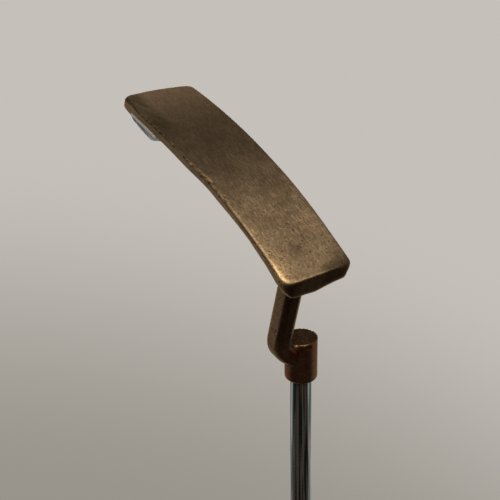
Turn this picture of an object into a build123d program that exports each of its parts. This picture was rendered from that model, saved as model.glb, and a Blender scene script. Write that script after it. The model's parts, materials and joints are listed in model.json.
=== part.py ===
# Right-handed blade putter, standing at address: a cast bronze head with heel and toe weights and
# a crank neck, a chromed stepped steel shaft, and a rubber grip with a flat front.
# Origin where the sole touches the ground, +X towards the toe, +Y towards the target, +Z up.
# Sizes are in millimetres and angles in degrees.

import os
from math import cos, radians, sin, tan

from build123d import *

# Head, seen from below
sole_width = 32.5
heel_reach = 57.5
toe_reach = 58.3
toe_flare = 4.8
toe_bulge = 1.8
rear_corner = 4.5
face_corner_toe = 4.0
face_corner_heel = 2.2
rocker_radius = 276.0

# Head, seen from the front and from the heel
toe_height = 27.0
heel_height = 24.0
heel_wall = 10.5
heel_slope = 8.0
face_loft = 3.5
topline = 5.6
topline_step = 3.0
rear_wall = 11.0
edge_round = 1.5

# Cavity between the weights, and the flange below it
cavity_toe = 33.0
cavity_heel = 33.0
cavity_draft = 5.0
cavity_sweep_toe = 20.0
cavity_sweep_heel = 140.0
cavity_corner = 3.0
cavity_edge = 0.5
face_wall = 5.8
flange_rear = 3.4
flange_front = 6.0

# Sight line in the flange
sight_length = 10.0
sight_width = 1.6
sight_depth = 0.6
sight_inset = 2.5
paint_below = 0.1

# Neck and socket
lie = 70.0
neck_size = 8.5
neck_corner = 2.4
neck_inset = 16.7
neck_y = 2.0
neck_lean = 4.8
neck_root = 6.0
neck_knee = 55.3
offset_forward = 12.0
offset_heelward = 3.5
arm_rise = 14.1
arm_end_way = (-0.1, 0.8, 0.6)
socket_wall = 2.18
socket_length = 19.3
socket_below_arm = 9.6
socket_floor = 3.0
socket_round = 1.4
glue_film = 0.15

# Shaft
club_length = 889.0
tip_diameter = 9.02
tip_taper = 0.0075
tip_taper_length = 100.0
butt_diameter = 14.73
shaft_wall = 0.6
first_step = 190.0
step_pitch = 31.75
step_count = 11
step_slope = 1.5

# Grip: at each share of its length, the rubber beside the shaft and behind it
grip_length = 266.0
grip_walls = ((0, 2.1, 1.6), (0.45, 3.9, 6.5), (0.8, 5.4, 13.5), (1, 5.1, 11.5))
grip_front_wall = 2.3
grip_flat = 0.28
grip_belly = 0.42
tape_thickness = 0.25
tape_margin = 5.0
cap_thickness = 4.0
cap_round = 1.8
vent_diameter = 4.0

# Lead tape over the back of the toe weight
lead_thickness = 0.6
lead_up = 7.0
lead_down = 2.8
lead_from_toe = 5.0
lead_from_cavity = 5.3

# Stock that the cuts run out into
blank_margin = 3.0
overcut = 1.0

half_width = sole_width / 2
loft_slope = tan(radians(face_loft))
blank_height = max(toe_height, heel_height) + blank_margin
toe_end = toe_reach + toe_flare + toe_bulge
front_end = toe_end + overcut
shaft_way = Vector(-cos(radians(lie)), 0, sin(radians(lie)))
neck_way = Vector(-sin(radians(neck_lean)), 0, cos(radians(neck_lean)))
top_front = half_width - loft_slope * blank_height
top_back = top_front - topline
step_z = heel_height - topline_step


def sole_z(x):
    """Height of the rockered sole above the ground."""
    return rocker_radius - (rocker_radius**2 - x**2) ** 0.5


def creases(part, edges, least_angle=12):
    """Those of the edges where two faces meet at a visible angle."""
    found = []
    for edge in edges:
        sides = [face for face in part.faces() if any(edge.is_same(e) for e in face.edges())]
        normals = [face.normal_at(edge @ 0.5) for face in sides]
        if len(normals) == 2 and normals[0].get_angle(normals[1]) > least_angle:
            found.append(edge)
    return found


def grip_outline(side_wall, back_wall):
    """Grip cross-section: a flat for the thumbs at the front and a round back."""
    width = 2 * (grip_bore + side_wall)
    front_y = grip_bore + grip_front_wall
    depth = front_y + grip_bore + back_wall
    flat_end = (grip_flat * width, front_y)
    flat_start = (-grip_flat * width, front_y)
    belly = grip_belly * depth
    side_y = front_y - belly
    with BuildSketch() as outline:
        with BuildLine():
            Line(flat_start, flat_end)
            Spline(flat_end, (width / 2, side_y), tangents=[(1, 0), (0, -1)])
            EllipticalCenterArc((0, side_y), width / 2, depth - belly, 180, arc_size=180)
            Spline((-width / 2, side_y), flat_start, tangents=[(0, 1), (1, 0)])
        make_face()
    return outline.sketch


# The neck's middle line, and the socket and shaft at its end
root = Vector(neck_inset - heel_reach, neck_y, neck_root)
knee = root + neck_way * ((neck_knee - neck_root) / neck_way.Z)
arm_end = knee + Vector(-offset_heelward, offset_forward, arm_rise)
socket_base = arm_end - shaft_way * socket_below_arm
tip = socket_base + shaft_way * socket_floor
bore_depth = socket_length - socket_floor
bore_radius = (tip_diameter + tip_taper * bore_depth) / 2 + glue_film
socket_radius = bore_radius + socket_wall
shaft_axis = Axis(tip, shaft_way)
shaft_side = Plane(origin=tip, x_dir=(0, 1, 0), z_dir=Vector(0, 1, 0).cross(shaft_way))

shaft_length = club_length - tip.Z / shaft_way.Z - cap_thickness
grip_mouth = tip + shaft_way * (shaft_length + cap_thickness - grip_length)
grip_plane = Plane(origin=grip_mouth, x_dir=(0, -1, 0), z_dir=shaft_way)
body_length = grip_length - cap_thickness
grip_bore = butt_diameter / 2 + tape_thickness

# Flange top at the middle of the head
wall_y = top_back - loft_slope * face_wall
rear_y = -half_width - overcut
flange_fall = (flange_front - flange_rear) / (wall_y - rear_y)
sight_y = sight_inset + sight_length / 2 - half_width
sight_plane = Plane(
    origin=(0, sight_y, flange_rear + flange_fall * (sight_y - rear_y)),
    x_dir=(1, 0, 0),
    z_dir=(0, -flange_fall, 1),
)

# ------------------------------------------------------------------ head
with BuildPart() as head:
    with BuildSketch() as plan:
        with BuildLine():
            toe_face = (toe_reach, half_width)
            toe_rear = (toe_reach + toe_flare, -half_width)
            ThreePointArc(toe_face, (toe_end - toe_flare / 2, 0), toe_rear)
            Polyline(toe_rear, (-heel_reach, -half_width), (-heel_reach, half_width), toe_face)
        make_face()
        fillet(plan.vertices().group_by(Axis.Y)[0], rear_corner)
    extrude(amount=blank_height)

    with BuildSketch(Plane.XZ):
        with BuildLine():
            heel_sole = (-heel_reach, sole_z(heel_reach))
            toe_sole = (front_end, sole_z(front_end))
            ThreePointArc(heel_sole, (0, 0), toe_sole)
            Polyline(
                toe_sole,
                (front_end, toe_height),
                (heel_slope - heel_reach, heel_height),
                (-heel_reach, sole_z(heel_reach) + heel_wall),
                heel_sole,
            )
        make_face()
    extrude(amount=sole_width, both=True, mode=Mode.INTERSECT)

    with BuildSketch(Plane.YZ):
        with BuildLine():
            Polyline(
                (half_width, 0),
                (top_front, blank_height),
                (top_back, blank_height),
                (top_back, step_z),
                (-half_width, rear_wall),
                (-half_width, 0),
                close=True,
            )
        make_face()
    extrude(amount=2 * toe_end, both=True, mode=Mode.INTERSECT)

    upright = head.edges().filter_by(lambda e: abs((e % 0.5).Z) > abs((e % 0.5).X))
    upright = upright.filter_by(lambda e: abs((e % 0.5).Z) > abs((e % 0.5).Y))
    face_ends = upright.filter_by(lambda e: (e @ 0.5).Y > top_front).sort_by(Axis.X)
    fillet(face_ends[-1], face_corner_toe)
    fillet(face_ends[:-1], face_corner_heel)
    fillet(creases(head.part, head.edges()), edge_round)

    # cavity behind the face, over a flange that falls towards the rear
    cavity_ends = (
        (wall_y, flange_front, cavity_draft, cavity_draft),
        (rear_y, flange_rear, cavity_sweep_heel, cavity_sweep_toe),
    )
    for y, floor, heel_side, toe_side in cavity_ends:
        with BuildSketch(Plane.XZ.offset(-y)) as hollow:
            with BuildLine():
                left = (-cavity_heel, sole_z(cavity_heel) + floor)
                right = (cavity_toe, sole_z(cavity_toe) + floor)
                ThreePointArc(left, (0, floor), right)
                Polyline(
                    right,
                    (cavity_toe + toe_side, blank_height),
                    (-cavity_heel - heel_side, blank_height),
                    left,
                )
            make_face()
            fillet(hollow.vertices().group_by(Axis.Z)[0], cavity_corner)
    loft(mode=Mode.SUBTRACT)
    fillet(creases(head.part, head.edges(Select.LAST)), cavity_edge)

    # crank neck, and the socket at its end
    with BuildLine() as neck_line:
        rise = Line(root, knee)
        Spline(knee, arm_end, tangents=[rise % 1, arm_end_way])
    with BuildSketch(Plane(origin=root, x_dir=(0, 1, 0), z_dir=neck_way)):
        RectangleRounded(neck_size, neck_size, neck_corner)
    sweep(path=neck_line.line)
    with BuildSketch(Plane(origin=socket_base, x_dir=(0, 1, 0), z_dir=shaft_way)):
        Circle(socket_radius)
    extrude(amount=socket_length)
    mouth = head.edges(Select.LAST).filter_by(GeomType.CIRCLE).sort_by(Axis.Z)[-1]
    fillet(mouth, socket_round)
    with BuildSketch(Plane(origin=tip, x_dir=(0, 1, 0), z_dir=shaft_way)):
        Circle(bore_radius)
    extrude(amount=socket_length, mode=Mode.SUBTRACT)

    # slot for the sight line, along the flange from its rear edge, cut out past the flange's top
    with BuildSketch(sight_plane.offset(-sight_depth)):
        Rectangle(sight_width, sight_length)
    extrude(amount=2 * sight_depth, mode=Mode.SUBTRACT)

# ------------------------------------------------------------------ paint in the sight line
with BuildPart() as sight_line:
    with BuildSketch(sight_plane.offset(-sight_depth)):
        Rectangle(sight_width, sight_length)
    extrude(amount=sight_depth - paint_below)

# ------------------------------------------------------------------ glue in the socket
with BuildPart() as epoxy:
    with BuildSketch(shaft_side):
        with BuildLine():
            Polyline(
                (tip_diameter / 2, 0),
                (bore_radius, 0),
                (bore_radius, bore_depth),
                (bore_radius - glue_film, bore_depth),
                close=True,
            )
        make_face()
    revolve(axis=shaft_axis)

# ------------------------------------------------------------------ shaft
tip_end_radius = (tip_diameter + tip_taper * tip_taper_length) / 2
step_growth = (butt_diameter / 2 - tip_end_radius) / step_count
shaft_outside = [(tip_diameter / 2, 0), (tip_end_radius, tip_taper_length)]
for step in range(step_count):
    start = first_step + step * step_pitch
    shaft_outside.append((tip_end_radius + step * step_growth, start))
    shaft_outside.append((tip_end_radius + (step + 1) * step_growth, start + step_slope))
shaft_outside.append((butt_diameter / 2, shaft_length))
shaft_inside = [(radius - shaft_wall, along) for radius, along in reversed(shaft_outside)]

with BuildPart() as shaft:
    with BuildSketch(shaft_side):
        with BuildLine():
            Polyline(*shaft_outside, *shaft_inside, close=True)
        make_face()
    revolve(axis=shaft_axis)

# ------------------------------------------------------------------ grip
with BuildPart() as tape_sleeve:
    with BuildSketch(grip_plane.offset(tape_margin)):
        Circle(grip_bore)
        Circle(butt_diameter / 2, mode=Mode.SUBTRACT)
    extrude(amount=body_length - tape_margin)

with BuildPart() as grip:
    for share, side_wall, back_wall in grip_walls:
        with BuildSketch(grip_plane.offset(share * body_length)):
            add(grip_outline(side_wall, back_wall))
    loft()
    with BuildSketch(grip_plane):
        Circle(grip_bore)
    extrude(amount=body_length, mode=Mode.SUBTRACT)

with BuildPart() as cap:
    with BuildSketch(grip_plane.offset(body_length)):
        add(grip_outline(*grip_walls[-1][1:]))
    extrude(amount=cap_thickness)
    fillet(cap.faces().sort_by(shaft_axis)[-1].edges(), cap_round)
    with Locations(grip_plane.offset(grip_length)):
        Hole(vent_diameter / 2)

# ------------------------------------------------------------------ lead tape
lead_start = cavity_toe + lead_from_cavity
lead_end = toe_reach - lead_from_toe
back_slope = Vector(top_back + half_width, step_z - rear_wall).normalized()
back_corner = Vector(-half_width, rear_wall)

with BuildPart() as lead:
    with BuildSketch(Plane.YZ.offset(lead_start)):
        with BuildLine() as under:
            below = back_corner - Vector(0, lead_down)
            Polyline(below, back_corner, back_corner + back_slope * lead_up)
            fillet(under.vertices().sort_by(Axis.Y)[0:2].sort_by(Axis.Z)[-1], edge_round)
            offset(amount=lead_thickness, side=Side.LEFT)
        make_face()
    extrude(amount=lead_end - lead_start)

pieces = {
    "head": head,
    "sight_line_paint": sight_line,
    "shaft_epoxy": epoxy,
    "shaft": shaft,
    "grip_tape": tape_sleeve,
    "grip": grip,
    "grip_cap": cap,
    "lead_tape": lead,
}
os.makedirs("parts", exist_ok=True)
for name, piece in pieces.items():
    piece.part.label = name
    export_step(piece.part, f"parts/{name}.step")
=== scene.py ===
# Looks of a right-handed bronze blade putter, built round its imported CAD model.
import json
import math

import bmesh
import bpy
import numpy as np
from mathutils import Matrix, Vector
from mathutils.bvhtree import BVHTree


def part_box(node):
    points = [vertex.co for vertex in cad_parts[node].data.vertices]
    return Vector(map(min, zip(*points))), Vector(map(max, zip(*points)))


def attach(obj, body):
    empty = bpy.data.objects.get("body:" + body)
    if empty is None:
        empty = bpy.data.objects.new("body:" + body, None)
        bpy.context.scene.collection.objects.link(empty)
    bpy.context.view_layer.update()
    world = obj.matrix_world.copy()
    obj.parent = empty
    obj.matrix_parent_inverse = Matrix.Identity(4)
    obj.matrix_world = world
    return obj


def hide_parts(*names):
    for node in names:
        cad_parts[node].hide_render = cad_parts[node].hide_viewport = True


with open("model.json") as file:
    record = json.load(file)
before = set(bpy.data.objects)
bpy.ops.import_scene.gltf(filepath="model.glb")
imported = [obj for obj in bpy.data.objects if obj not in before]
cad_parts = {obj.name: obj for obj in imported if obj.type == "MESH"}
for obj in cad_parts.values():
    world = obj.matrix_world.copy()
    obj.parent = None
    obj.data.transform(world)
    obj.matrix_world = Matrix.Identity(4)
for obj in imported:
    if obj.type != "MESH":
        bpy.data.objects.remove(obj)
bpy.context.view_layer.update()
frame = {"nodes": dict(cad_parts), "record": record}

scene = bpy.context.scene
cad = frame["nodes"]
mounts = {mount["name"]: mount for mount in frame["record"]["mounts"]}
mm = 0.001


# sRGB hex to the linear colour that the nodes take
def hexColour(code):
    parts = [int(code[i:i + 2], 16) / 255 for i in (1, 3, 5)]
    linear = [c / 12.92 if c <= 0.04045 else ((c + 0.055) / 1.055) ** 2.4 for c in parts]
    return (*linear, 1.0)


# one node: its settings by name, its inputs by socket, each a socket to link or a plain value
def addNode(tree, kind, inputs=None, **settings):
    node = tree.nodes.new(kind)
    for key, value in settings.items():
        setattr(node, key, value)
    for key, value in (inputs or {}).items():
        if isinstance(value, bpy.types.NodeSocket):
            tree.links.new(value, node.inputs[key])
        else:
            node.inputs[key].default_value = value
    return node


def newMaterial(name):
    material = bpy.data.materials.new(name)
    material.use_nodes = True
    return material, material.node_tree, material.node_tree.nodes["Principled BSDF"]


def newPiece(name, mesh):
    piece = bpy.data.objects.new(name, mesh)
    scene.collection.objects.link(piece)
    return piece


# a CAD node's mesh is loose triangles, so its copy is merged
def cadCopy(node, name):
    piece = newPiece(name, cad[node].data.copy())
    loose = bmesh.new()
    loose.from_mesh(piece.data)
    bmesh.ops.remove_doubles(loose, verts=loose.verts, dist=0.0005 * mm)
    loose.to_mesh(piece.data)
    loose.free()
    return piece


# the piece's mesh with its modifiers worked in, and no modifier left on it
def workIn(piece):
    graph = bpy.context.evaluated_depsgraph_get()
    mesh = bpy.data.meshes.new_from_object(piece.evaluated_get(graph))
    piece.modifiers.clear()
    piece.data = mesh


def voxelSkin(piece, size):
    remesh = piece.modifiers.new("skin", "REMESH")
    remesh.mode = "VOXEL"
    remesh.voxel_size = size
    workIn(piece)


def snapTo(piece, target):
    snap = piece.modifiers.new("snap", "SHRINKWRAP")
    snap.target = target
    snap.wrap_method = "NEAREST_SURFACEPOINT"
    workIn(piece)


def readPoints(mesh, what="co"):
    flat = np.empty(len(mesh.vertices) * 3)
    mesh.vertices.foreach_get(what, flat)
    return flat.reshape(-1, 3)


def writePoints(mesh, points):
    mesh.vertices.foreach_set("co", points.ravel())
    mesh.update()


def readEdges(mesh):
    flat = np.empty(len(mesh.edges) * 2, int)
    mesh.edges.foreach_get("vertices", flat)
    return flat.reshape(-1, 2)


# mean of each point's neighbours, for a column of values or for places
def neighbourMean(values, edges):
    columns = values.reshape(len(values), -1)
    ends = np.concatenate([edges[:, 0], edges[:, 1]])
    others = np.concatenate([edges[:, 1], edges[:, 0]])
    count = np.maximum(np.bincount(ends, minlength=len(values)), 1)
    sums = [np.bincount(ends, weights=columns[others, i], minlength=len(values))
            for i in range(columns.shape[1])]
    return (np.stack(sums, axis=1) / count[:, None]).reshape(values.shape)


# how sharply the surface bends at each point: above 0 on an edge, below 0 in a hollow
def bendOf(mesh, edges, size, rounds):
    points = readPoints(mesh)
    outward = readPoints(mesh, "normal")
    bend = ((points - neighbourMean(points, edges)) * outward).sum(1) / size
    for _ in range(rounds):
        bend = neighbourMean(bend, edges)
    return bend


# moves each point towards its neighbours' mean, by its own share of the way
def relax(points, edges, share, rounds):
    for _ in range(rounds):
        points += (neighbourMean(points, edges) - points) * share[:, None] * 0.8


def faceOutwards(mesh):
    shape = bmesh.new()
    shape.from_mesh(mesh)
    bmesh.ops.recalc_face_normals(shape, faces=shape.faces)
    shape.to_mesh(mesh)
    shape.free()


def storeValues(mesh, name, values):
    layer = mesh.attributes.new(name, "FLOAT", "POINT")
    layer.data.foreach_set("value", values.astype(np.float32))


def smoothStep(low, high, values):
    t = np.clip((values - low) / (high - low), 0, 1)
    return t * t * (3 - 2 * t)


def finishPiece(piece, material, slot, *replaced):
    piece.data.materials.clear()
    piece.data.materials.append(material)
    for face in piece.data.polygons:
        face.use_smooth = True
    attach(piece, "root")
    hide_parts(*replaced)


# camera: where it stands seen from the head, and how it is tilted
camera = {
    "place": Vector((-0.28623, -0.25980, -0.31848)),
    "azimuth": -45.96,
    "elevation": -42.98,
    "roll": 165.5,
    "lens": 91.8,
}


def makeCamera():
    across, up = math.radians(camera["azimuth"]), math.radians(camera["elevation"])
    back = Vector((math.sin(across) * math.cos(up), -math.cos(across) * math.cos(up), math.sin(up)))
    turn = (-back).to_track_quat("-Z", "Y").to_matrix() @ Matrix.Rotation(
        math.radians(-camera["roll"]), 3, "Z")
    data = bpy.data.cameras.new("camera")
    data.lens = camera["lens"]
    data.clip_start = 0.01
    data.clip_end = 50
    seer = bpy.data.objects.new("camera", data)
    scene.collection.objects.link(seer)
    seer.matrix_world = Matrix.Translation(camera["place"]) @ turn.to_4x4()
    scene.camera = seer
    return back, turn


viewBack, viewTurn = makeCamera()
viewUp = viewTurn.col[1].copy()
print("camera made")

# the shaft's way up, and the middle of the socket's closed end
socketEndHeight = 60.379 * mm
shaftWay = Vector(mounts["vent"]["axis"]).normalized()
shaftWay *= math.copysign(1, shaftWay.z)
socketEnd = Vector(mounts["vent"]["pos_m"])
socketEnd += shaftWay * ((socketEndHeight - socketEnd.z) / shaftWay.z)


# aged cast bronze: brown patina over yellow metal, brushed heel to toe, pitted, bright where it is rubbed
# and where highlights are painted, dark where it is dirty and where shade is painted
bronze = {
    "metal": "#b89c70",
    "tan": "#86725a",
    "brown": "#564839",
    "dark": "#33281d",
    "stain": "#2f2a1e",
    "neck": "#664e3d",
    "rust": "#62290f",
    "grimeAndShade": "#201406",
    "veil": "#e6dac6",
    "streakLength": 5 * mm,
    "streakWidth": 0.4 * mm,
    "patchSize": 13 * mm,
    "mottleSize": 2.6 * mm,
    "gritSize": 0.7 * mm,
    "pitSpacing": 1.35 * mm,
    "pitRadius": 0.55 * mm,  # drawn coarser than real, or it would not show
    "turningPitch": 0.8 * mm,
    "brownFrom": (-45 * mm, 16 * mm),  # tan ends and brown is full, along X
    "streakTone": (0.68, 1.42),
    "mottleTone": (0.8, 1.24),
    "gritTone": (0.74, 1.28),
    "toeTone": 2.4,  # at the toe's very end
    "toeCalm": 0.45,  # how much weaker the streaks are in the toe half
    "toePits": 0.3,
    "metallic": 0.92,
    "roughness": (0.36, 0.52),
    "neckGloss": 0.16,
    "reliefDepth": 0.08 * mm,
}


def bronzeMaterial():
    material, tree, shader = newMaterial("agedBronze")
    place = addNode(tree, "ShaderNodeTexCoord").outputs["Object"]
    along = addNode(tree, "ShaderNodeSeparateXYZ", {0: place})
    wearAndSheen, dirtAndShade, scar, neck, disc, stain, smudge, rust, paler = (
        addNode(tree, "ShaderNodeAttribute", attribute_name=name).outputs["Fac"]
        for name in ("wearAndSheen", "dirtAndShade", "scar", "neck", "disc", "stain", "smudge", "rust", "paler"))

    # brushing runs along X
    long, fine = 1 / bronze["streakLength"], 1 / bronze["streakWidth"]
    brushed = addNode(tree, "ShaderNodeMapping", {"Vector": place, "Scale": (long, fine, fine)})
    streak = addNode(tree, "ShaderNodeTexNoise",
                     {"Vector": brushed.outputs[0], "Scale": 1.0, "Detail": 3.0, "Roughness": 0.7})
    patch, mottle, grit = (
        addNode(tree, "ShaderNodeTexNoise",
                {"Vector": place, "Scale": 1 / bronze[size], "Detail": detail, "Roughness": roughness})
        for size, detail, roughness in (("patchSize", 6.0, 0.6), ("mottleSize", 4.0, 0.7),
                                        ("gritSize", 3.0, 0.7)))

    # heel is tan, the toe is browner, with a soft uneven border between them
    wander = addNode(tree, "ShaderNodeMath", {0: patch.outputs["Fac"], 1: 0.05, 2: -0.025},
                     operation="MULTIPLY_ADD")
    reach = addNode(tree, "ShaderNodeMath", {0: along.outputs["X"], 1: wander.outputs[0]})
    tanEnd, brownStart = bronze["brownFrom"]
    toeward = addNode(tree, "ShaderNodeMapRange",
                      {"Value": reach.outputs[0], "From Min": tanEnd, "From Max": brownStart},
                      interpolation_type="SMOOTHSTEP")
    browner = addNode(tree, "ShaderNodeMath", {0: toeward.outputs[0], 1: paler}, operation="SUBTRACT",
                      use_clamp=True)
    body = addNode(tree, "ShaderNodeMix",
                   {0: browner.outputs[0], 6: hexColour(bronze["tan"]), 7: hexColour(bronze["brown"])},
                   data_type="RGBA")

    # dark smudges and their breaks, rust and bare flecks, each where its noise is high
    shade, broken, rusty, fleck = (
        addNode(tree, "ShaderNodeMapRange",
                {"Value": noise.outputs["Fac"], "From Min": low, "From Max": high,
                 "To Min": least, "To Max": most})
        for noise, low, high, least, most in (
            (patch, 0.44, 0.72, 0.0, 0.24), (mottle, 0.35, 0.6, 0.4, 1.0),
            (patch, 0.45, 0.58, 0.0, 0.9), (grit, 0.38, 0.6, 0.0, 1.0)))
    smudged = addNode(tree, "ShaderNodeMath", {0: smudge, 1: broken.outputs[0], 2: shade.outputs[0]},
                      operation="MULTIPLY_ADD", use_clamp=True)
    patched = addNode(tree, "ShaderNodeMix",
                      {0: smudged.outputs[0], 6: body.outputs[2], 7: hexColour(bronze["dark"])},
                      data_type="RGBA")

    # streaks and fine mottling lighten and darken the patina, and the toe's end is paler
    streakTone, mottleTone, gritTone = (
        addNode(tree, "ShaderNodeMapRange",
                {"Value": noise.outputs["Fac"], "From Min": 0.5 - spread, "From Max": 0.5 + spread,
                 "To Min": bronze[tone][0], "To Max": bronze[tone][1]})
        for noise, spread, tone in ((streak, 0.16, "streakTone"), (mottle, 0.14, "mottleTone"),
                                    (grit, 0.15, "gritTone")))
    toeTone = addNode(tree, "ShaderNodeMapRange",
                      {"Value": along.outputs["X"], "From Min": 30 * mm, "From Max": 62 * mm,
                       "To Min": 1.0, "To Max": bronze["toeTone"]})
    grained = addNode(tree, "ShaderNodeMath", {0: mottleTone.outputs[0], 1: gritTone.outputs[0]},
                      operation="MULTIPLY")
    bothTones = addNode(tree, "ShaderNodeMath", {0: streakTone.outputs[0], 1: grained.outputs[0]},
                        operation="MULTIPLY")
    calm = addNode(tree, "ShaderNodeMath", {0: toeward.outputs[0], 1: bronze["toeCalm"]},
                   operation="MULTIPLY")
    calmed = addNode(tree, "ShaderNodeMix", {0: calm.outputs[0], 2: bothTones.outputs[0], 3: 1.0},
                     data_type="FLOAT")
    allTones = addNode(tree, "ShaderNodeMath", {0: calmed.outputs[0], 1: toeTone.outputs[0]},
                       operation="MULTIPLY")
    toned = addNode(tree, "ShaderNodeVectorMath",
                    {0: patched.outputs[2], "Scale": allTones.outputs[0]}, operation="SCALE")
    stained = addNode(tree, "ShaderNodeMix",
                      {0: stain, 6: toned.outputs[0], 7: hexColour(bronze["stain"])}, data_type="RGBA")

    # the neck has a redder patina, and the closed end of the socket shows turning marks
    rustShare = addNode(tree, "ShaderNodeMath", {0: rusty.outputs[0], 1: rust}, operation="MULTIPLY")
    neckTone = addNode(tree, "ShaderNodeMix",
                       {0: rustShare.outputs[0], 6: hexColour(bronze["neck"]), 7: hexColour(bronze["rust"])},
                       data_type="RGBA")
    neckMottled = addNode(tree, "ShaderNodeVectorMath",
                          {0: neckTone.outputs[2], "Scale": grained.outputs[0]}, operation="SCALE")
    reddened = addNode(tree, "ShaderNodeMix",
                       {0: neck, 6: stained.outputs[2], 7: neckMottled.outputs[0]}, data_type="RGBA")
    offCentre = addNode(tree, "ShaderNodeVectorMath", {0: place, 1: socketEnd}, operation="DISTANCE")
    turns = addNode(tree, "ShaderNodeMath",
                    {0: offCentre.outputs["Value"], 1: 2 * math.pi / bronze["turningPitch"]},
                    operation="MULTIPLY")
    ridge = addNode(tree, "ShaderNodeMath", {0: turns.outputs[0]}, operation="SINE")
    turned = addNode(tree, "ShaderNodeMath", {0: ridge.outputs[0], 1: disc}, operation="MULTIPLY")

    # pits, denser at the heel
    pits = addNode(tree, "ShaderNodeTexVoronoi", {"Vector": place, "Scale": 1 / bronze["pitSpacing"]})
    pitRim = bronze["pitRadius"] / bronze["pitSpacing"]
    pitSize = addNode(tree, "ShaderNodeMapRange",
                      {"Value": mottle.outputs["Fac"], "From Min": 0.44, "From Max": 0.64,
                       "To Min": pitRim * 0.1, "To Max": pitRim * 1.6})
    inPit = addNode(tree, "ShaderNodeMapRange",
                    {"Value": pits.outputs["Distance"], "From Min": pitSize.outputs[0],
                     "From Max": 0.02, "To Min": 0.0, "To Max": 1.0})
    pitShare = addNode(tree, "ShaderNodeMapRange",
                       {"Value": toeward.outputs[0], "To Min": 1.0, "To Max": bronze["toePits"]})
    pitted = addNode(tree, "ShaderNodeMath", {0: inPit.outputs[0], 1: pitShare.outputs[0]},
                     operation="MULTIPLY")
    marked = addNode(tree, "ShaderNodeMix",
                     {0: pitted.outputs[0], 6: reddened.outputs[2], 7: hexColour(bronze["grimeAndShade"])},
                     data_type="RGBA")

    # rubbed edges show bare metal in flecks, and painted highlights take the same colour; hollows and scars
    # hold dirt, and painted shade takes the same dark colour
    bareAndSheen = addNode(tree, "ShaderNodeMath", {0: wearAndSheen, 1: fleck.outputs[0]}, operation="MULTIPLY")
    rubbed = addNode(tree, "ShaderNodeMix",
                     {0: bareAndSheen.outputs[0], 6: marked.outputs[2], 7: hexColour(bronze["metal"])},
                     data_type="RGBA")
    grimeAndShade = addNode(tree, "ShaderNodeMath", {0: dirtAndShade, 1: scar}, operation="MAXIMUM", use_clamp=True)
    grimyAndShaded = addNode(tree, "ShaderNodeMix",
                    {0: grimeAndShade.outputs[0], 6: rubbed.outputs[2], 7: hexColour(bronze["grimeAndShade"])},
                    data_type="RGBA")
    tree.links.new(grimyAndShaded.outputs[2], shader.inputs["Base Color"])

    rough = addNode(tree, "ShaderNodeMapRange",
                    {"Value": streak.outputs["Fac"], "From Min": 0.25, "From Max": 0.75,
                     "To Min": bronze["roughness"][0], "To Max": bronze["roughness"][1]})
    rougher = addNode(tree, "ShaderNodeMath", {0: pitted.outputs[0], 1: 0.3, 2: rough.outputs[0]},
                      operation="MULTIPLY_ADD")
    smoothNeck = addNode(tree, "ShaderNodeMath", {0: neck, 1: -bronze["neckGloss"], 2: rougher.outputs[0]},
                         operation="MULTIPLY_ADD")
    tree.links.new(smoothNeck.outputs[0], shader.inputs["Roughness"])
    shader.inputs["Metallic"].default_value = bronze["metallic"]
    shader.inputs["Specular Tint"].default_value = hexColour(bronze["veil"])

    relief = addNode(tree, "ShaderNodeMath", {0: pitted.outputs[0], 1: -1.0, 2: streak.outputs["Fac"]},
                     operation="MULTIPLY_ADD")
    ringed = addNode(tree, "ShaderNodeMath", {0: turned.outputs[0], 1: 0.25, 2: relief.outputs[0]},
                     operation="MULTIPLY_ADD")
    bump = addNode(tree, "ShaderNodeBump",
                   {"Height": ringed.outputs[0], "Strength": 0.4, "Distance": bronze["reliefDepth"]})
    tree.links.new(bump.outputs[0], shader.inputs["Normal"])
    return material


# polished chrome plate over steel: a sharp mirror, with streaks along the tube in its colour, partly faint
# drawn streaks and partly painted reflection of dark, pale and coloured surroundings
chrome = {
    "dark": "#3c3d40",
    "bright": "#d8d9da",
    "streakWidth": 0.9 * mm,
    "streakLength": 80 * mm,
    "streakEdge": (0.48, 0.54),
    "reflectedTintShare": 0.18,  # share of the faint colours in the streaks
    "smearSize": 6 * mm,
    "roughness": (0.01, 0.04),
    "metallic": 0.95,
}


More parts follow.
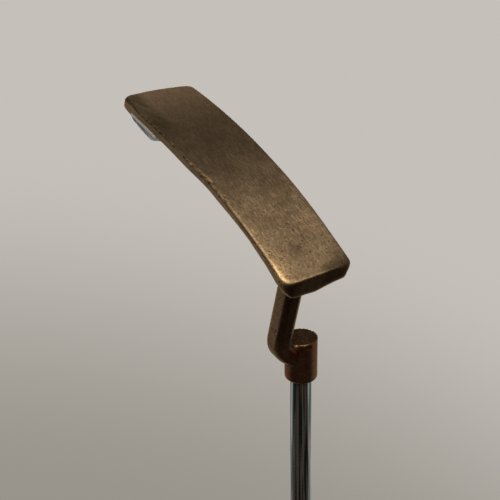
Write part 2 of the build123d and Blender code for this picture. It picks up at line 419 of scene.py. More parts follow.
def chromeMaterial():
    material, tree, shader = newMaterial("chromePlate")
    place = addNode(tree, "ShaderNodeTexCoord").outputs["Object"]
    lean = math.atan2(shaftWay.x, shaftWay.z)
    upright = addNode(tree, "ShaderNodeMapping", {"Vector": place, "Rotation": (0, -lean, 0)})
    fine, long = 1 / chrome["streakWidth"], 1 / chrome["streakLength"]
    drawn = addNode(tree, "ShaderNodeMapping", {"Vector": upright.outputs[0], "Scale": (fine, fine, long)})
    streak = addNode(tree, "ShaderNodeTexNoise",
                     {"Vector": drawn.outputs[0], "Scale": 1.0, "Detail": 2.0, "Roughness": 0.6})
    smear = addNode(tree, "ShaderNodeTexNoise",
                    {"Vector": place, "Scale": 1 / chrome["smearSize"], "Detail": 4.0, "Roughness": 0.6})
    smoothest, roughest = chrome["roughness"]
    rough = addNode(tree, "ShaderNodeMapRange",
                    {"Value": smear.outputs["Fac"], "To Min": smoothest, "To Max": roughest})
    tree.links.new(rough.outputs[0], shader.inputs["Roughness"])
    shader.inputs["Metallic"].default_value = chrome["metallic"]
    # painted reflection: the streaks set dark, pale and coloured lines along the tube into the base colour
    reflectedColours = addNode(tree, "ShaderNodeHueSaturation",
                    {"Saturation": 2.2, "Value": 1.0, "Color": streak.outputs["Color"]})
    edgeLow, edgeHigh = chrome["streakEdge"]
    level = addNode(tree, "ShaderNodeMapRange",
                    {"Value": streak.outputs["Fac"], "From Min": edgeLow, "From Max": edgeHigh})
    tone = addNode(tree, "ShaderNodeMix",
                   {0: level.outputs[0], 6: hexColour(chrome["dark"]), 7: hexColour(chrome["bright"])},
                   data_type="RGBA")
    tint = addNode(tree, "ShaderNodeMix",
                   {0: chrome["reflectedTintShare"], 6: tone.outputs[2], 7: reflectedColours.outputs[0]}, data_type="RGBA")
    tree.links.new(tint.outputs[2], shader.inputs["Base Color"])
    return material


# soft lead foil: dull silver grey, creased, with painted shade in its folds
foil = {
    "grey": "#8f9192",
    "pale": "#d6d7d5",
    "foldAndShade": "#1d1e20",
    "mottleSize": 1.5 * mm,
    "dimpleDepth": 0.1 * mm,
    "roughness": 0.42,
    "metallic": 0.85,
}


def leadMaterial():
    material, tree, shader = newMaterial("leadFoil")
    place = addNode(tree, "ShaderNodeTexCoord").outputs["Object"]
    creaseShade = addNode(tree, "ShaderNodeAttribute", attribute_name="foldAndShade").outputs["Fac"]
    mottle = addNode(tree, "ShaderNodeTexNoise",
                     {"Vector": place, "Scale": 1 / foil["mottleSize"], "Detail": 4.0, "Roughness": 0.65})
    tone = addNode(tree, "ShaderNodeMix",
                   {0: mottle.outputs["Fac"], 6: hexColour(foil["grey"]), 7: hexColour(foil["pale"])},
                   data_type="RGBA")
    # painted shade: the folds take a near-black colour
    creaseShaded = addNode(tree, "ShaderNodeMix",
                     {0: creaseShade, 6: tone.outputs[2], 7: hexColour(foil["foldAndShade"])}, data_type="RGBA")
    tree.links.new(creaseShaded.outputs[2], shader.inputs["Base Color"])
    shader.inputs["Metallic"].default_value = foil["metallic"]
    shader.inputs["Roughness"].default_value = foil["roughness"]
    bump = addNode(tree, "ShaderNodeBump",
                   {"Height": mottle.outputs["Fac"], "Strength": 0.4, "Distance": foil["dimpleDepth"]})
    tree.links.new(bump.outputs[0], shader.inputs["Normal"])
    return material


# moulded black rubber: matt, slightly greyed where hands rub it, with a fine moulding grain
rubber = {
    "black": "#1b1b1c",
    "rubbed": "#343433",
    "grainSize": 0.5 * mm,
    "grainDepth": 0.05 * mm,
    "handSize": 35 * mm,
    "roughness": (0.72, 0.5),  # untouched, rubbed
}


def rubberMaterial():
    material, tree, shader = newMaterial("mouldedRubber")
    place = addNode(tree, "ShaderNodeTexCoord").outputs["Object"]
    grain = addNode(tree, "ShaderNodeTexNoise",
                    {"Vector": place, "Scale": 1 / rubber["grainSize"], "Detail": 2.0})
    rubbed = addNode(tree, "ShaderNodeTexNoise",
                     {"Vector": place, "Scale": 1 / rubber["handSize"], "Detail": 4.0, "Roughness": 0.6})
    tone = addNode(tree, "ShaderNodeMix",
                   {0: rubbed.outputs["Fac"], 6: hexColour(rubber["black"]), 7: hexColour(rubber["rubbed"])},
                   data_type="RGBA")
    tree.links.new(tone.outputs[2], shader.inputs["Base Color"])
    untouched, handled = rubber["roughness"]
    rough = addNode(tree, "ShaderNodeMapRange",
                    {"Value": rubbed.outputs["Fac"], "To Min": untouched, "To Max": handled})
    tree.links.new(rough.outputs[0], shader.inputs["Roughness"])
    bump = addNode(tree, "ShaderNodeBump",
                   {"Height": grain.outputs["Fac"], "Strength": 0.3, "Distance": rubber["grainDepth"]})
    tree.links.new(bump.outputs[0], shader.inputs["Normal"])
    return material


# brushed-on enamel: off-white, dulled and chipped
enamel = {
    "colours": ("#d8d2c2", "#3c2f20"),
    "turn": (0.6, 0.66),  # where the pattern goes from the first colour to the second
    "pattern": "ShaderNodeTexNoise",
    "size": 0.9 * mm,
    "grain": {"Detail": 4.0, "Roughness": 0.7},
    "roughness": 0.45,
}

# crepe paper tape: cream, matt, finely creased
crepePaper = {
    "colours": ("#b8a678", "#dccfa6"),
    "turn": (0.0, 1.0),
    "pattern": "ShaderNodeTexNoise",
    "size": 0.8 * mm,
    "grain": {"Detail": 3.0, "Roughness": 0.7},
    "roughness": 0.8,
}

# cured epoxy: honey yellow and glassy, with small bubbles
epoxy = {
    "colours": ("#8a7440", "#b59c5e"),
    "turn": (0.0, 1.0),
    "pattern": "ShaderNodeTexVoronoi",
    "size": 0.8 * mm,
    "grain": {},
    "roughness": 0.25,
}


# a finish of two colours mixed by one fine pattern, for the small glued-in pieces
def twoColourMaterial(name, finish):
    material, tree, shader = newMaterial(name)
    place = addNode(tree, "ShaderNodeTexCoord").outputs["Object"]
    pattern = addNode(tree, finish["pattern"],
                      {"Vector": place, "Scale": 1 / finish["size"], **finish["grain"]})
    low, high = finish["turn"]
    share = addNode(tree, "ShaderNodeMapRange",
                    {"Value": pattern.outputs[0], "From Min": low, "From Max": high})
    first, second = finish["colours"]
    tone = addNode(tree, "ShaderNodeMix",
                   {0: share.outputs[0], 6: hexColour(first), 7: hexColour(second)}, data_type="RGBA")
    tree.links.new(tone.outputs[2], shader.inputs["Base Color"])
    shader.inputs["Roughness"].default_value = finish["roughness"]
    return material


materials = {
    "head": bronzeMaterial(),
    "shaft": chromeMaterial(),
    "lead_tape": leadMaterial(),
    "grip": rubberMaterial(),
    "sight_line_paint": twoColourMaterial("sightEnamel", enamel),
    "grip_tape": twoColourMaterial("crepeTape", crepePaper),
    "shaft_epoxy": twoColourMaterial("curedEpoxy", epoxy),
}
materials["grip_cap"] = materials["grip"]
print("materials made")

# head: the casting's worn skin, with X to the toe, Y to the face and Z up; a pair is where a fade starts
# and where it is full
head = {
    "voxel": 0.47 * mm,
    "hollowBend": (0.06, 0.2),
    "hollowSpread": 8,
    "softenRounds": 30,
    "slotMargin": 2 * mm,
    # edges of the sole
    "edgeRound": 1.5 * mm,
    "edgeBand": 1.8 * mm,
    "edgeTop": 9 * mm,
    "toeHalfStart": (-6 * mm, 14 * mm),
    "toeHalfEnd": (47 * mm, 57 * mm),
    "heelEdgeHalf": (14 * mm, 9 * mm),
    "rearBulge": 1.2 * mm,
    "bulgeReach": (4.5 * mm, 1 * mm),
    "bulgeTop": (6 * mm, 11 * mm),
    # rounded end of the heel
    "neckFoot": 30 * mm,  # the neck stands above this
    "heelEnd": (-47.5 * mm, -55.5 * mm),
    "heelTopRise": 3.1 * mm,
    "riseMiddle": -10.5 * mm,
    "riseWidth": 5.3 * mm,
    "riseHeight": (7.5 * mm, 10.5 * mm),
    "heelTopFall": 3.0 * mm,
    "fallFaceward": (-7 * mm, 13 * mm),
    "fallHeight": (9 * mm, 14.5 * mm),
    "heelRound": (-51.5 * mm, -55.5 * mm),
    "heelCrispHeight": (10.5 * mm, 8.5 * mm),
    "heelCrispHalf": (12 * mm, 8 * mm),
    "rearRound": (-12 * mm, -34 * mm),
    "faceRound": (-15 * mm, -45 * mm),
    "faceRoundY": (11 * mm, 13.5 * mm),
    "faceRoundUp": (4 * mm, 2.5 * mm),
    "soleRadius": 276 * mm,
    "weightCorner": (37.5 * mm, 0.5 * mm, 10.8 * mm),  # Y from the rear edge
    "cornerRound": (5 * mm, 2 * mm),
    "roundRounds": 16,
    # dents
    "waviness": 0.05 * mm,
    "waves": (((170, 240, 110), 0.4), ((-260, 190, 150), 1.9), ((120, -330, 210), 3.1)),
    "dentTilt": (34, 16),  # middle and width, in degrees round the edge, 0 on the sole and 90 on the rear
    "dentStart": (-12 * mm, 2 * mm),
    "dentEnd": (50 * mm, 56 * mm),
    "dentDepth": 0.2 * mm,
    "edgeNicks": 34,
    "nickDepth": (0.08 * mm, 0.26 * mm),
    "nickWidth": (0.5 * mm, 1.3 * mm),
    "bigNick": (-2.6 * mm, 0.8 * mm, 0.5 * mm),
    "seed": 11,
}

# marks on the head: where it is rubbed, dirty, darkened, stained and reddened, and where highlights are
# painted
marks = {
    "wallTop": 20 * mm,
    "elbow": 50 * mm,
    "neckStart": (22 * mm, 27 * mm),
    "neckEnd": (56 * mm, 51 * mm),
    "faceward": (-0.5 * mm, 4.5 * mm),
    "wearBend": (0.02, 0.075),
    "toeWear": 0.08,  # share of the heel's wear
    "dashTilt": (8, 7),
    "rubbedCorner": (-50.5 * mm, -13.5 * mm, 6.5 * mm, 3.2 * mm),  # X, Y and their widths
    "heelTopX": -53.5 * mm,
    "heelRimX": (-56.6 * mm, 0.45 * mm),
    "topBand": (2.4 * mm, 0.8 * mm),
    "hollowBend": (0.02, 0.09),
    "dulled": (-52 * mm, -44 * mm),
    "rearDirt": (20 * mm, 45 * mm),
    "heelFaceDarkX": (-52.5 * mm, -55.5 * mm),
    "neckTone": (24 * mm, 30 * mm),
    "rust": (46 * mm, 56 * mm),
    "stainX": (20 * mm, 36 * mm),
    "stainY": (-7 * mm, -12.5 * mm),
    "smudges": ((-44.5, -3, 3.5, 4, 0.5), (-41, 4.5, 4, 5, 0.35),  # X, Y, widths in mm, share
                (-52.5, 11, 4, 4, 0.6), (24, 2, 20, 9, 0.25)),
}


# hollows where the neck meets the head are blended; the sight line's slot keeps its edges
def blendHollows(mesh, edges, points):
    soften = smoothStep(*head["hollowBend"], -bendOf(mesh, edges, head["voxel"], 1))
    for _ in range(head["hollowSpread"]):
        soften = np.clip(neighbourMean(soften, edges) * 1.25, 0, 1)
    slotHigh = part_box("sight_line_paint")[1]
    margin = head["slotMargin"]
    x, y, z = points.T
    nearSlot = (np.abs(x) < slotHigh.x + margin) & (y < slotHigh.y + margin) & (z < slotHigh.z + margin)
    soften[nearSlot] = 0
    relax(points, edges, soften, head["softenRounds"])
    writePoints(mesh, points)


# the sole's rear edge is crisp and stands out a little in the toe half
def sharpenSole(mesh, points, low):
    outward = readPoints(mesh, "normal")
    x, y, z = points.T
    toeHalf = smoothStep(*head["toeHalfStart"], x) * (1 - smoothStep(*head["toeHalfEnd"], x))
    rearCrisp = toeHalf * (y < low.y + head["edgeBand"]) * 0.8
    heelCrisp = (x < low.x + head["edgeBand"]) * smoothStep(*head["heelEdgeHalf"], np.abs(y)) * 0.8
    heelward, rearward, downward = -outward.T
    for sideways, crisp in ((rearward, rearCrisp), (heelward, heelCrisp)):
        onRound = (sideways > 0.08) & (downward > 0.08) & (z < head["edgeTop"])
        sharpest = np.maximum(sideways, downward) / np.hypot(sideways, downward).clip(0.01)
        push = head["edgeRound"] * (1 / sharpest.clip(0.7) - 1)
        points += outward * (push * crisp * onRound)[:, None]
    inward, outermost = (low.y + reach for reach in head["bulgeReach"])
    bulge = toeHalf * smoothStep(inward, outermost, y) * (1 - 0.7 * smoothStep(*head["bulgeTop"], z))
    points[:, 1] -= head["rearBulge"] * bulge


# the heel's end is rounded over, and its top falls towards the face
def roundHeel(mesh, edges, points, low):
    x, y, z = points.T
    fall = smoothStep(*head["fallFaceward"], y) * smoothStep(*head["fallHeight"], z) * head["heelTopFall"]
    hump = np.exp(-((y - head["riseMiddle"]) / head["riseWidth"]) ** 2)
    rise = hump * smoothStep(*head["riseHeight"], z) * head["heelTopRise"]
    points[:, 2] += (rise - fall) * smoothStep(*head["heelEnd"], x) * (z < head["neckFoot"])
    rearEdge = (y < low.y + 3 * mm) & (z < 8 * mm)
    crispEdge = smoothStep(*head["heelCrispHeight"], z) * smoothStep(*head["heelCrispHalf"], np.abs(y))
    heelRound = smoothStep(*head["heelRound"], x) * (1 - crispEdge) * 0.5
    rearRound = smoothStep(*head["rearRound"], x) * rearEdge * 0.6
    aboveSole = z - x ** 2 / (2 * head["soleRadius"])
    softFace = smoothStep(*head["faceRoundY"], y) * smoothStep(*head["faceRoundUp"], aboveSole)
    faceRound = softFace * smoothStep(*head["faceRound"], x) * 0.6
    cornerX, cornerY, cornerZ = head["weightCorner"]
    fromCorner = np.linalg.norm(points - np.array((cornerX, low.y + cornerY, cornerZ)), axis=1)
    cornerRound = smoothStep(*head["cornerRound"], fromCorner)
    share = np.maximum.reduce([heelRound, rearRound, faceRound, cornerRound])
    share[z > head["neckFoot"]] = 0
    for _ in range(3):
        share = neighbourMean(share, edges)
    relax(points, edges, share, head["roundRounds"])
    writePoints(mesh, points)


# the casting is never quite flat, and a dented line runs along the rear edge with nicks beside it
def dentCasting(mesh, points, low, high):
    outward = readPoints(mesh, "normal")
    wave = sum(np.sin(points @ np.array(way) + shift) for way, shift in head["waves"])
    points += outward * (wave * head["waviness"] / 3)[:, None]
    random = np.random.default_rng(head["seed"])
    x, y, z = points.T
    rearEdge = (outward[:, 1] < -0.1) & (outward[:, 2] < -0.2)
    rearEdge &= (y < low.y + 2.5 * mm) & (z < head["edgeTop"])
    tilt = np.degrees(np.arctan2(-outward[:, 1], -outward[:, 2]))
    wander = np.sin(x * 900) * 2.5 + np.sin(x * 2300 + 1) * 2
    middle, width = head["dentTilt"]
    line = np.exp(-((tilt - middle - wander) / width) ** 2) * rearEdge
    line *= smoothStep(*head["dentStart"], x) * (1 - 0.6 * smoothStep(*head["dentEnd"], x))
    uneven = 0.6 + 0.4 * np.sin(x * 1500 + 2 * np.sin(x * 310))
    points -= outward * (line * uneven * head["dentDepth"])[:, None]
    scar = line
    spots = [(random.uniform(-16 * mm, high.x - 8 * mm),
              random.uniform(*head["nickWidth"]) / 2,
              random.uniform(*head["nickDepth"])) for _ in range(head["edgeNicks"])]
    edgeAt = points[rearEdge]
    for middle, radius, depth in [*spots, head["bigNick"]]:
        near = edgeAt[np.abs(edgeAt[:, 0] - middle) < 0.8 * mm]
        if not len(near):
            continue
        centre = near[random.integers(len(near))]
        away = (points - centre) / np.array([radius * 1.4, radius, radius])
        dip = np.exp(-(away ** 2).sum(1))
        points -= outward * (dip * depth)[:, None]
        scar = np.maximum(scar, dip * min(1, depth / (0.25 * mm)))
    writePoints(mesh, points)
    return scar, rearEdge, tilt


# what the bronze's colour follows: where it is rubbed, dirty, darkened, scarred, stained or reddened, and
# where highlights and shade are painted
def markCasting(mesh, edges, points, scar, rearEdge, tilt):
    x, y, z = points.T
    bend = bendOf(mesh, edges, head["voxel"], 2)
    outward = readPoints(mesh, "normal")
    heelward, rearward, downward = -outward.T
    onWall = z < marks["wallTop"]
    onSole = downward > 0.4
    onNeck = smoothStep(*marks["neckStart"], z) * smoothStep(*marks["neckEnd"], z)
    faceward = smoothStep(*marks["faceward"], y)
    patchy = 0.5 + 0.5 * np.sin(x * 420 + 2 * np.sin(y * 500)) * np.sin(y * 700 + x * 150)
    heelTopEdge = 15.2 * mm - 4.2 * (y + 8 * mm) ** 2
    topBand = smoothStep(*marks["topBand"], heelTopEdge - z) * (x < -53 * mm) * onWall
    topBand *= 0.4 + 0.6 * patchy
    # painted highlight: the neck's corner turned to -X and +Y gets bare-metal colour, and the neck's red
    # tone and the darkening beside it are kept off it
    neckPaintedSheen = smoothStep(0.56, 0.72, outward @ np.array((-0.55, 0.83, 0))) * onNeck
    endFace = (outward @ -np.array(shaftWay) > 0.9) & (z > marks["elbow"])

    # rubbed bare; painted highlight on the neck's corner, and wear with painted highlight along the heel's
    # sole edge
    toHeel = smoothStep(0, -50 * mm, x)
    wearAndSheen = smoothStep(*marks["wearBend"], bend) * (1 - scar)
    wearAndSheen *= (marks["toeWear"] + (1 - marks["toeWear"]) * toHeel) * (1 - 0.75 * (z > marks["elbow"]))
    middle, width = marks["dashTilt"]
    dashes = np.exp(-((tilt - middle) / width) ** 2) * (np.sin(x * 1900) + np.sin(x * 3300 + 2) > -0.1)
    dashes *= rearEdge * (1 - scar) * smoothStep(-14 * mm, 0, x)
    cornerX, cornerY, wideX, wideY = marks["rubbedCorner"]
    rubbedCorner = np.exp(-((x - cornerX) / wideX) ** 2 - ((y - cornerY) / wideY) ** 2)
    heelTop = smoothStep(0.25, 0.5, -downward) * smoothStep(0.95, 0.8, -downward)
    heelTop *= (x < marks["heelTopX"]) * onWall
    wearAndSheen = np.maximum.reduce([wearAndSheen, dashes * 0.35, rubbedCorner * (downward > 0.2), heelTop * 0.9])
    wearAndSheen *= 1 - 0.6 * faceward * (x < -52 * mm)
    # bare-metal colour in a broken line along the heel's sole edge: partly edge wear, partly painted
    # highlight
    rimX, rimWidth = marks["heelRimX"]
    heelRimWearAndSheen = np.exp(-((x - rimX) / rimWidth) ** 2) * onSole * (z < head["edgeTop"])
    heelRimWearAndSheen *= (np.sin(y * 2600) + np.sin(y * 4100 + 1) > -0.2) * (1 - faceward)
    storeValues(mesh, "wearAndSheen", np.maximum.reduce([wearAndSheen, topBand * 0.9, neckPaintedSheen * 0.8, heelRimWearAndSheen]))

    # dirt in hollows and on the toe weight's wall; the heel's end wall, the socket's closed end, the heel's
    # face-side corner and the rear edge away from the heel are darkened; painted shade down the neck
    hollow = smoothStep(*marks["hollowBend"], -bend) * 0.7
    heelWall = smoothStep(0.5, 0.9, heelward) * smoothStep(0.4, 0.15, -downward) * onWall
    # the heel's end wall is darkened, patchily, and less so near its top
    heelWallDark = heelWall * (0.3 + 0.35 * patchy) * (1 - topBand)
    dulled = rearEdge * smoothStep(*marks["dulled"], x) * 0.5
    rearWall = smoothStep(0.4, 0.8, rearward) * onWall * smoothStep(*marks["rearDirt"], x) * 0.5
    # the heel end's face-side corner is darkened
    heelFaceDark = smoothStep(*marks["heelFaceDarkX"], x) * faceward * (z < 12 * mm) * 0.6
    # painted shade: the neck's face turned to -X and -Y is darkened towards the dark grime colour
    neckPaintedShade = smoothStep(0.7, 0.9, outward @ np.array((-0.88, -0.47, 0))) * onNeck
    neckPaintedShade *= (1 - neckPaintedSheen) * 0.45
    storeValues(mesh, "dirtAndShade", np.maximum.reduce([
        hollow, endFace * (0.6 + 0.3 * patchy), heelWallDark, dulled, rearWall, heelFaceDark, neckPaintedShade]))

    storeValues(mesh, "scar", scar)
    storeValues(mesh, "disc", endFace.astype(float))
    neck = smoothStep(*marks["neckTone"], z) * 0.9 * (1 - neckPaintedSheen)
    storeValues(mesh, "neck", np.maximum(neck, heelWall * 0.8))
    storeValues(mesh, "rust", np.maximum(smoothStep(*marks["rust"], z), heelWall * 0.5))
    storeValues(mesh, "paler", smoothStep(0.6, 0.9, rearward) * onWall * 0.8)
    smudge = sum(share * np.exp(-((x / mm - atX) / wideX) ** 2 - ((y / mm - atY) / wideY) ** 2)
                 for atX, atY, wideX, wideY, share in marks["smudges"])
    storeValues(mesh, "smudge", smudge * onSole)
    stained = smoothStep(*marks["stainX"], x) * smoothStep(*marks["stainY"], y) * onSole
    storeValues(mesh, "stain", stained * (0.35 + 0.35 * patchy))


def makeHead():
    low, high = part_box("head")
    shell = cadCopy("head", "headShell")
    piece = cadCopy("head", "head_casting")
    voxelSkin(piece, head["voxel"])
    snapTo(piece, shell)
    bpy.data.objects.remove(shell)
    mesh = piece.data
    edges = readEdges(mesh)
    points = readPoints(mesh)
    blendHollows(mesh, edges, points)
    sharpenSole(mesh, points, low)
    roundHeel(mesh, edges, points, low)
    scar, rearEdge, tilt = dentCasting(mesh, points, low, high)
    markCasting(mesh, edges, points, scar, rearEdge, tilt)
    finishPiece(piece, materials["head"], "bronze", "head")
    return piece


headPiece = makeHead()
print("head made:", len(headPiece.data.polygons), "faces")

# lead tape: crumpled foil pressed over the toe weight's back and its inner end
lead = {
    "ends": (30.2 * mm, 54.6 * mm),
    "columns": 130,
    "rows": 64,
    "centreY": -12.5 * mm,
    "centreAboveSole": 2.6 * mm,
    "angles": (5, 106),
    "thickness": 0.35 * mm,
    "sunk": 0.12 * mm,
    "rippleDepth": 0.03 * mm,
    "foldDepth": 0.22 * mm,
    "bridgeRounds": 1200,
    # angle it starts at, how far it drifts and sways, width, and its stretch of the foil's length
    "creases": ((42, -8, 3, 4.5, (0.35, 1.0)), (26, 2, 2.5, 4.0, (0.45, 0.95)),
                (34, -16, 2, 4.0, (0.02, 0.6)), (60, 6, 5, 2.6, (0.0, 1.0)),
                (80, -8, 6, 2.8, (0.1, 0.9))),
}


def makeLeadTape():
    graph = bpy.context.evaluated_depsgraph_get()
    surface = BVHTree.FromObject(headPiece, graph)
    xs = np.linspace(*lead["ends"], lead["columns"])
    share = np.linspace(0, 1, lead["columns"])
    taper = np.sqrt(np.clip(1 - np.abs(2 * share - 1) ** 2.4, 0, 1))[:, None]
    rows = np.linspace(0, 1, lead["rows"])
    firstAngle, lastAngle = lead["angles"]
    angles = firstAngle + (1 - taper) * 20 + rows * (lastAngle - firstAngle) * (0.1 + 0.9 * taper)
    reach = np.empty(angles.shape)
    centres = []
    for i, x in enumerate(xs):
        floor = surface.ray_cast(Vector((x, lead["centreY"], -0.02)), Vector((0, 0, 1)))[0]
        centre = Vector((x, lead["centreY"], floor.z + lead["centreAboveSole"]))
        centres.append(centre)
        for j, angle in enumerate(np.radians(angles[i])):
            way = Vector((0, -math.cos(angle), math.sin(angle)))
            reach[i, j] = (surface.ray_cast(centre + way * 0.03, -way)[0] - centre).length
    # the foil bridges the step at the weight's inner end
    spread = reach.copy()
    for _ in range(lead["bridgeRounds"]):
        wide = np.pad(spread, ((1, 1), (0, 0)), mode="edge")
        spread = 0.5 * spread + 0.25 * (wide[:-2] + wide[2:])
    border = np.minimum(smoothStep(0, 0.05, share), smoothStep(1, 0.85, share))[:, None]
    border = border * np.minimum(smoothStep(0, 0.05, rows), smoothStep(1, 0.95, rows))
    bridged = np.maximum(reach, reach + (spread - reach) * border)
    # creases run along the foil
    foldAndShade = np.zeros(angles.shape)
    for start, drift, sway, width, (first, last) in lead["creases"]:
        at = start + drift * share + sway * np.sin(share * 9 + start)
        along = smoothStep(first - 0.06, first + 0.06, share) * smoothStep(last + 0.05, last - 0.05, share)
        foldAndShade = np.maximum(foldAndShade, np.exp(-((angles - at[:, None]) / width) ** 2) * along[:, None])
    ripple = np.sin(share[:, None] * 55 + rows * 21) * np.sin(rows * 33 - share[:, None] * 18)
    lift = (lead["thickness"] + ripple * lead["rippleDepth"] - foldAndShade * lead["foldDepth"]) * border
    outer = bridged + np.maximum(lift, lead["rippleDepth"])
    inner = reach - lead["sunk"]
    corners = []
    for depth in (outer, inner):
        for i, centre in enumerate(centres):
            for j, angle in enumerate(np.radians(angles[i])):
                corners.append(centre + Vector((0, -math.cos(angle), math.sin(angle))) * depth[i, j])
    count, width = lead["columns"], lead["rows"]
    back = count * width
    faces = []
    for i in range(count - 1):
        for j in range(width - 1):
            a = i * width + j
            faces.append((a, a + 1, a + width + 1, a + width))
            faces.append((back + a, back + a + width, back + a + width + 1, back + a + 1))
    rim = [i * width for i in range(count)]
    rim += [(count - 1) * width + j for j in range(1, width)]
    rim += [i * width + width - 1 for i in range(count - 2, -1, -1)]
    rim += list(range(width - 2, 0, -1))
    for a, b in zip(rim, rim[1:] + rim[:1]):
        faces.append((a, b, back + b, back + a))
    mesh = bpy.data.meshes.new("lead_foil")
    mesh.from_pydata(corners, [], faces)
    storeValues(mesh, "foldAndShade", np.tile((foldAndShade * border).ravel(), 2))
    faceOutwards(mesh)
    piece = newPiece("lead_foil", mesh)
    finishPiece(piece, materials["lead_tape"], "lead", "lead_tape")


makeLeadTape()
print("lead tape made")

# grip: rubber sleeve with a flat for the thumbs, rings at its ends and rows of moulded pips
grip = {
    "rowStep": 0.75 * mm,
    "columns": 130,
    "ringDepth": 0.35 * mm,
    "ringWidth": 0.9 * mm,
    "mouthRound": 0.7 * mm,
    "mouthRings": (6, 10, 14),
    "capRings": (248, 252, 256),
    "pipRows": (24 * mm, 238 * mm),
    "pipEvery": 5,
    "pipWidth": 1.7 * mm,
    "pipHeight": 0.5 * mm,
    "flatHalfAngle": 34,
}


def pipTree():
    tree = bpy.data.node_groups.new("gripPips", "GeometryNodeTree")
    for name, kind in (("Skin", "Geometry"), ("Pip Width", "Float"), ("Pip Height", "Float"),
                       ("Rubber", "Material")):
        tree.interface.new_socket(name, in_out="INPUT", socket_type="NodeSocket" + kind)
    tree.interface.new_socket("Grip", in_out="OUTPUT", socket_type="NodeSocketGeometry")
    given = addNode(tree, "NodeGroupInput").outputs
    dome = addNode(tree, "GeometryNodeMeshUVSphere", {"Segments": 8, "Rings": 4, "Radius": 0.5})
    size = addNode(tree, "ShaderNodeCombineXYZ",
                   {"X": given["Pip Width"], "Y": given["Pip Width"], "Z": given["Pip Height"]})
    chosen = addNode(tree, "GeometryNodeInputNamedAttribute", {"Name": "pip"}, data_type="FLOAT")
    picked = addNode(tree, "FunctionNodeCompare", {0: chosen.outputs[0], 1: 0.5})
    outward = addNode(tree, "GeometryNodeInputNormal")
    facing = addNode(tree, "FunctionNodeAlignRotationToVector", {"Vector": outward.outputs[0]}, axis="Z")
    pips = addNode(tree, "GeometryNodeInstanceOnPoints",
                   {"Points": given["Skin"], "Selection": picked.outputs[0],
                    "Instance": dome.outputs["Mesh"], "Rotation": facing.outputs[0],
                    "Scale": size.outputs[0]})
    both = addNode(tree, "GeometryNodeJoinGeometry")
    tree.links.new(given["Skin"], both.inputs[0])
    tree.links.new(pips.outputs[0], both.inputs[0])
    real = addNode(tree, "GeometryNodeRealizeInstances", {0: both.outputs[0]})
    coated = addNode(tree, "GeometryNodeSetMaterial",
                     {"Geometry": real.outputs[0], "Material": given["Rubber"]})
    addNode(tree, "NodeGroupOutput", {0: coated.outputs[0]})
    return tree


def makeGrip():
    axis = Vector(mounts["vent"]["axis"]).normalized()
    onAxis = Vector(mounts["vent"]["pos_m"])
    side = Vector((0, 1, 0))
    front = side.cross(axis).normalized()
    shell = cadCopy("grip", "gripShell")
    along = [(vertex.co - onAxis).dot(axis) for vertex in shell.data.vertices]
    start, end = min(along), max(along)
    graph = bpy.context.evaluated_depsgraph_get()
    surface = BVHTree.FromObject(shell, graph)
    rows = int((end - start) / grip["rowStep"])
    columns = grip["columns"]
    turns = [360 * column / columns for column in range(columns)]
    ways = [front * math.cos(math.radians(turn)) + side * math.sin(math.radians(turn)) for turn in turns]
    outerPoints, pipAt = [], []
    for row in range(rows + 1):
        t = start + (end - start) * row / rows
        inside = min(max(t, start + 0.02 * mm), end - 0.02 * mm)
        fromMouth = (t - start) / mm
        ring = sum(math.exp(-((fromMouth - at) / (grip["ringWidth"] / mm / 2)) ** 2)
                   for at in (*grip["mouthRings"], *grip["capRings"]))
        endRound = max(0, 1 - fromMouth) ** 2 * grip["mouthRound"]
        sink = ring * grip["ringDepth"] + endRound
        centre = onAxis + axis * inside
        for column, way in enumerate(ways):
            hit = surface.ray_cast(centre + way * 50 * mm, -way)[0]
            outerPoints.append(hit - way * sink - axis * (inside - t))
            offFront = abs((turns[column] + 180) % 360 - 180)
            staggered = (column + (row // grip["pipEvery"]) % 2 * 2) % grip["pipEvery"] == 0
            inBand = grip["pipRows"][0] < t - start < grip["pipRows"][1]
            onFlat = offFront < grip["flatHalfAngle"]
            pipAt.append(float(row % grip["pipEvery"] == 0 and staggered and inBand and not onFlat))
    boreRadius = min((vertex.co - onAxis - axis * (vertex.co - onAxis).dot(axis)).length
                     for vertex in shell.data.vertices)
    innerPoints = [onAxis + axis * t + way * boreRadius for t in (start, end) for way in ways]
    faces = []
    for row in range(rows):
        for column in range(columns):
            after = (column + 1) % columns
            a, b = row * columns + column, row * columns + after
            faces.append((a, b, b + columns, a + columns))
    innerStart = len(outerPoints)
    lastRow = rows * columns
    for column in range(columns):
        after = (column + 1) % columns
        faces.append((innerStart + column, innerStart + after, after, column))
        faces.append((lastRow + column, lastRow + after,
                      innerStart + columns + after, innerStart + columns + column))
        faces.append((innerStart + columns + column, innerStart + columns + after,
                      innerStart + after, innerStart + column))
    mesh = bpy.data.meshes.new("grip_sleeve")
    mesh.from_pydata(outerPoints + innerPoints, [], faces)
    storeValues(mesh, "pip", np.array(pipAt + [0.0] * len(innerPoints)))
    faceOutwards(mesh)
    bpy.data.objects.remove(shell)
    piece = newPiece("grip_sleeve", mesh)
    moulding = piece.modifiers.new("pips", "NODES")
    moulding.node_group = pipTree()
    sockets = {item.name: item.identifier for item in moulding.node_group.interface.items_tree}
    moulding[sockets["Pip Width"]] = grip["pipWidth"]
    moulding[sockets["Pip Height"]] = grip["pipHeight"]
    moulding[sockets["Rubber"]] = materials["grip"]
    workIn(piece)
    finishPiece(piece, materials["grip"], "grip_rubber", "grip")
    return piece


gripPiece = makeGrip()
print("grip made:", len(gripPiece.data.polygons), "faces")

# the CAD nodes whose shape is right get their finish
for node in ("shaft", "grip_cap", "sight_line_paint", "grip_tape", "shaft_epoxy"):
    for slot in cad[node].material_slots:
        slot.material = materials[node]

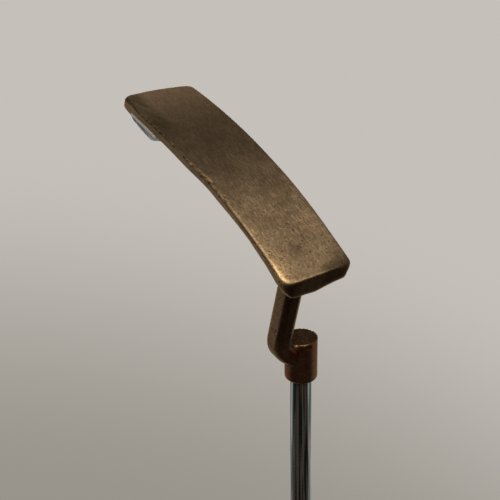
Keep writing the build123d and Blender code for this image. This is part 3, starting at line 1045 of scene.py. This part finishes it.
# stage: a pale floor far below, a pale room that is dimmer on the viewer's side, and a backdrop with painted
# shade, darker where it is seen higher up
stage = {
    "floorDrop": 0.95,
    "floorSize": 12.0,
    "floor": "#cfcbc4",
    "floorGlow": 0.6,
    "backdropNear": "#c5c1ba",
    "backdropShaded": "#98948c",
    "roomPale": "#b4b2ac",
    "roomDim": "#241b13",
    "plain": "#8c8a86",
    # where each part of the room turns to the next, along its own way; 1 is straight that way
    "backdropTurn": (0.64, 0.83),
    "nearSide": (-0.03, 0.05),
    "lowSide": (-0.4, -0.65),
    "overhead": (0.86, 0.96),
}


def makeFloor():
    mesh = bpy.data.meshes.new("floor")
    half = stage["floorSize"] / 2
    mesh.from_pydata([(-half, -half, 0), (half, -half, 0), (half, half, 0), (-half, half, 0)], [],
                     [(0, 1, 2, 3)])
    mesh.transform(Matrix.Translation((0, 0, -stage["floorDrop"])))
    floor = newPiece("floor", mesh)
    material, tree, shader = newMaterial("paleFloor")
    shader.inputs["Base Color"].default_value = hexColour(stage["floor"])
    shader.inputs["Roughness"].default_value = 0.9
    rays = addNode(tree, "ShaderNodeLightPath")
    shown = addNode(tree, "ShaderNodeMath", {0: rays.outputs["Is Camera Ray"], 1: stage["floorGlow"]},
                    operation="MULTIPLY")
    glow = addNode(tree, "ShaderNodeEmission", {"Color": hexColour(stage["floor"])})
    both = addNode(tree, "ShaderNodeMixShader",
                   {0: shown.outputs[0], 1: shader.outputs[0], 2: glow.outputs[0]})
    tree.links.new(both.outputs[0], tree.nodes["Material Output"].inputs["Surface"])
    mesh.materials.append(material)


def makeRoom():
    world = bpy.data.worlds.new("room")
    world.use_nodes = True
    scene.world = world
    tree = world.node_tree
    tree.nodes.clear()
    way = addNode(tree, "ShaderNodeTexCoord").outputs["Generated"]
    level = addNode(tree, "ShaderNodeSeparateXYZ", {0: way})
    towards = addNode(tree, "ShaderNodeVectorMath", {0: way, 1: tuple(viewBack)},
                      operation="DOT_PRODUCT")
    upwards = addNode(tree, "ShaderNodeVectorMath", {0: way, 1: tuple(viewUp)}, operation="DOT_PRODUCT")
    height, nearSide, lowSide = (
        addNode(tree, "ShaderNodeMapRange",
                {"Value": value, "From Min": stage[turn][0], "From Max": stage[turn][1]},
                interpolation_type="SMOOTHSTEP")
        for value, turn in ((level.outputs["Z"], "backdropTurn"), (towards.outputs["Value"], "nearSide"),
                            (upwards.outputs["Value"], "lowSide")))
    # painted shade: the backdrop seen by the camera darkens towards ways that point higher
    backdrop = addNode(tree, "ShaderNodeMix",
                       {0: height.outputs[0], 6: hexColour(stage["backdropNear"]),
                        7: hexColour(stage["backdropShaded"])}, data_type="RGBA")
    dimness = addNode(tree, "ShaderNodeMath", {0: nearSide.outputs[0], 1: lowSide.outputs[0]},
                      operation="MAXIMUM")
    overhead = addNode(tree, "ShaderNodeMapRange",
                       {"Value": level.outputs["Z"], "From Min": stage["overhead"][0],
                        "From Max": stage["overhead"][1], "To Min": 1.0, "To Max": 0.0})
    dimmed = addNode(tree, "ShaderNodeMath", {0: dimness.outputs[0], 1: overhead.outputs[0]},
                     operation="MULTIPLY")
    room = addNode(tree, "ShaderNodeMix",
                   {0: dimmed.outputs[0], 6: hexColour(stage["roomPale"]),
                    7: hexColour(stage["roomDim"])}, data_type="RGBA")
    rays = addNode(tree, "ShaderNodeLightPath")
    plain = addNode(tree, "ShaderNodeBackground", {"Color": hexColour(stage["plain"]), "Strength": 1.0})
    shown = addNode(tree, "ShaderNodeBackground", {"Color": backdrop.outputs[2], "Strength": 1.0})
    mirrored = addNode(tree, "ShaderNodeBackground", {"Color": room.outputs[2], "Strength": 1.0})
    glossy = addNode(tree, "ShaderNodeMixShader",
                     {0: rays.outputs["Is Glossy Ray"], 1: plain.outputs[0], 2: mirrored.outputs[0]})
    seen = addNode(tree, "ShaderNodeMixShader",
                   {0: rays.outputs["Is Camera Ray"], 1: glossy.outputs[0], 2: shown.outputs[0]})
    addNode(tree, "ShaderNodeOutputWorld", {"Surface": seen.outputs[0]})


makeFloor()
makeRoom()

# soft lamps: where each stands seen from the head, its power and size
lamps = {
    "window": {"way": (-0.06, -0.33, -0.94), "far": 0.75, "power": 12.0, "size": 0.9, "tint": "#fff6e8"},
    "side": {"way": (0.7, 0.5, 0.5), "far": 2.2, "power": 24.0, "size": 1.2, "tint": "#ffffff"},
}


def makeLamps():
    for name, lamp in lamps.items():
        data = bpy.data.lights.new(name, "AREA")
        data.energy = lamp["power"]
        data.size = lamp["size"]
        data.color = hexColour(lamp["tint"])[:3]
        light = bpy.data.objects.new(name, data)
        scene.collection.objects.link(light)
        way = Vector(lamp["way"]).normalized()
        light.matrix_world = Matrix.LocRotScale(way * lamp["far"], way.to_track_quat("Z", "Y"), None)
        light.visible_camera = False


makeLamps()
scene.view_settings.view_transform = "Standard"
print("stage and lamps made")
